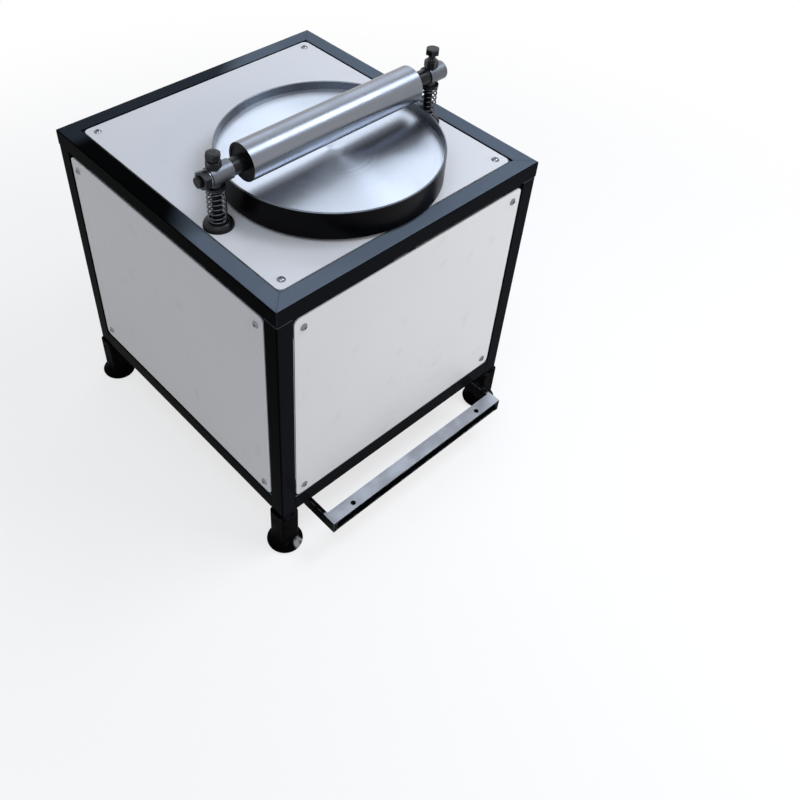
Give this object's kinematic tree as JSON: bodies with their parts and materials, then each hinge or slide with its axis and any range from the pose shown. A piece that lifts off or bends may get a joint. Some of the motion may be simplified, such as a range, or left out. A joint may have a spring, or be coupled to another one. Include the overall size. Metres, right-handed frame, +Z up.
{
  "type": "papad rolling machine",
  "caption": "Floor machine with a turning steel dish, a roller pulled down onto it by a foot pedal against springs, and a belt drive inside a panelled tube frame.",
  "frame": {"origin": "on the floor, at the centre of the whole machine's plan", "axes": "+Z up, +X to the right along the front, -Y to the front where the pedal is"},
  "size_m": [0.4856, 0.5504, 0.5993],
  "materials": {
    "black_paint": "gloss black paint",
    "panel_paint": "pale satin paint",
    "foot_rubber": "matte black rubber",
    "bright_zinc": "bright zinc plate",
    "bronze": "turned bronze",
    "spring_steel": "drawn spring wire",
    "black_oxide": "oiled black oxide",
    "cast_iron": "machined cast iron",
    "motor_alloy": "grey enamel on cast alloy",
    "belt_rubber": "matte belt rubber",
    "black_plastic": "moulded black plastic",
    "red_plastic": "moulded red plastic",
    "turned_steel": "turned stainless steel",
    "polished_steel": "polished stainless steel",
    "pedal_paint": "worn black paint",
    "plain_steel": "machined mild steel"
  },
  "bodies": {
    "frame": {"post_front_left": "black_paint", "post_front_right": "black_paint", "post_rear_left": "black_paint", "post_rear_right": "black_paint", "top_rail_front": "black_paint", "top_rail_rear": "black_paint", "top_rail_left": "black_paint", "top_rail_right": "black_paint", "bottom_rail_front": "black_paint", "bottom_rail_rear": "black_paint", "bottom_rail_left": "black_paint", "bottom_rail_right": "black_paint", "rubber_feet": "foot_rubber", "top_panel": "panel_paint", "front_panel": "panel_paint", "rear_panel": "panel_paint", "left_panel": "panel_paint", "right_panel": "panel_paint", "panel_tabs": "black_paint", "panel_screws": "bright_zinc", "guide_brackets": "black_paint", "guide_bushes": "bronze", "spring_seats": "black_oxide", "spring_left": "spring_steel", "spring_right": "spring_steel", "cross_beams": "black_paint", "spindle_housing": "cast_iron", "spindle_bearings": "plain_steel", "housing_bolts": "plain_steel", "motor_plate": "black_paint", "gear_motor": "motor_alloy", "motor_bolts": "plain_steel", "drive_belt": "belt_rubber", "cable_gland": "black_plastic", "switch_body": "black_plastic", "pivot_brackets": "black_paint"},
    "dish": {"dish_floor": "turned_steel", "dish_rim": "turned_steel", "dish_hub": "plain_steel", "hub_screws": "plain_steel", "spindle": "plain_steel", "big_pulley": "cast_iron"},
    "motor_rotor": {"motor_shaft": "plain_steel", "small_pulley": "cast_iron"},
    "carriage": {"pull_rods": "plain_steel", "roller_holders": "plain_steel", "roller_shaft": "plain_steel", "clamp_bolts": "black_oxide", "lock_nuts": "black_oxide", "end_nut": "bright_zinc", "spring_collars": "black_oxide", "spacer_collars": "black_oxide"},
    "roller": {"roller_tube": "polished_steel", "roller_caps": "black_oxide", "roller_bushes": "bronze"},
    "pedal": {"pedal_bar": "pedal_paint", "pedal_arms": "pedal_paint", "pedal_shaft": "plain_steel", "link_pins": "plain_steel"},
    "switch": {"switch_rocker": "red_plastic"}
  },
  "joints": [
    {"name": "pedal_press", "type": "hinge", "parent": "frame", "child": "pedal", "pos_m": [0, 0.22385, 0.0675], "axis": [1, 0, 0], "range_deg": [0, 3]},
    {"name": "roller_press", "type": "slide", "parent": "frame", "child": "carriage", "axis": [0, 0, -1], "range_m": [0, 0.0146], "stiffness_N_per_m": 5000, "springref_m": -0.03, "deforming": ["spring_left", "spring_right"]},
    {"name": "roller_spin", "type": "hinge", "parent": "carriage", "child": "roller", "pos_m": [0, -0.05215, 0.561], "axis": [1, 0, 0], "continuous": true},
    {"name": "dish_spin", "type": "hinge", "parent": "frame", "child": "dish", "pos_m": [0, -0.05215, 0.5197], "axis": [0, 0, 1], "continuous": true},
    {"name": "motor_spin", "type": "hinge", "parent": "frame", "child": "motor_rotor", "pos_m": [0, 0.12785, 0.5197], "axis": [0, 0, 1], "continuous": true},
    {"name": "switch_rock", "type": "hinge", "parent": "frame", "child": "switch", "pos_m": [-0.12, 0.25685, 0.4], "axis": [1, 0, 0], "range_deg": [0, 20]}
  ],
  "couplings": [
    {"joint": "roller_press", "follows": "pedal_press", "m_per_rad": 0.276},
    {"joint": "motor_spin", "follows": "dish_spin", "ratio": 3}
  ]
}
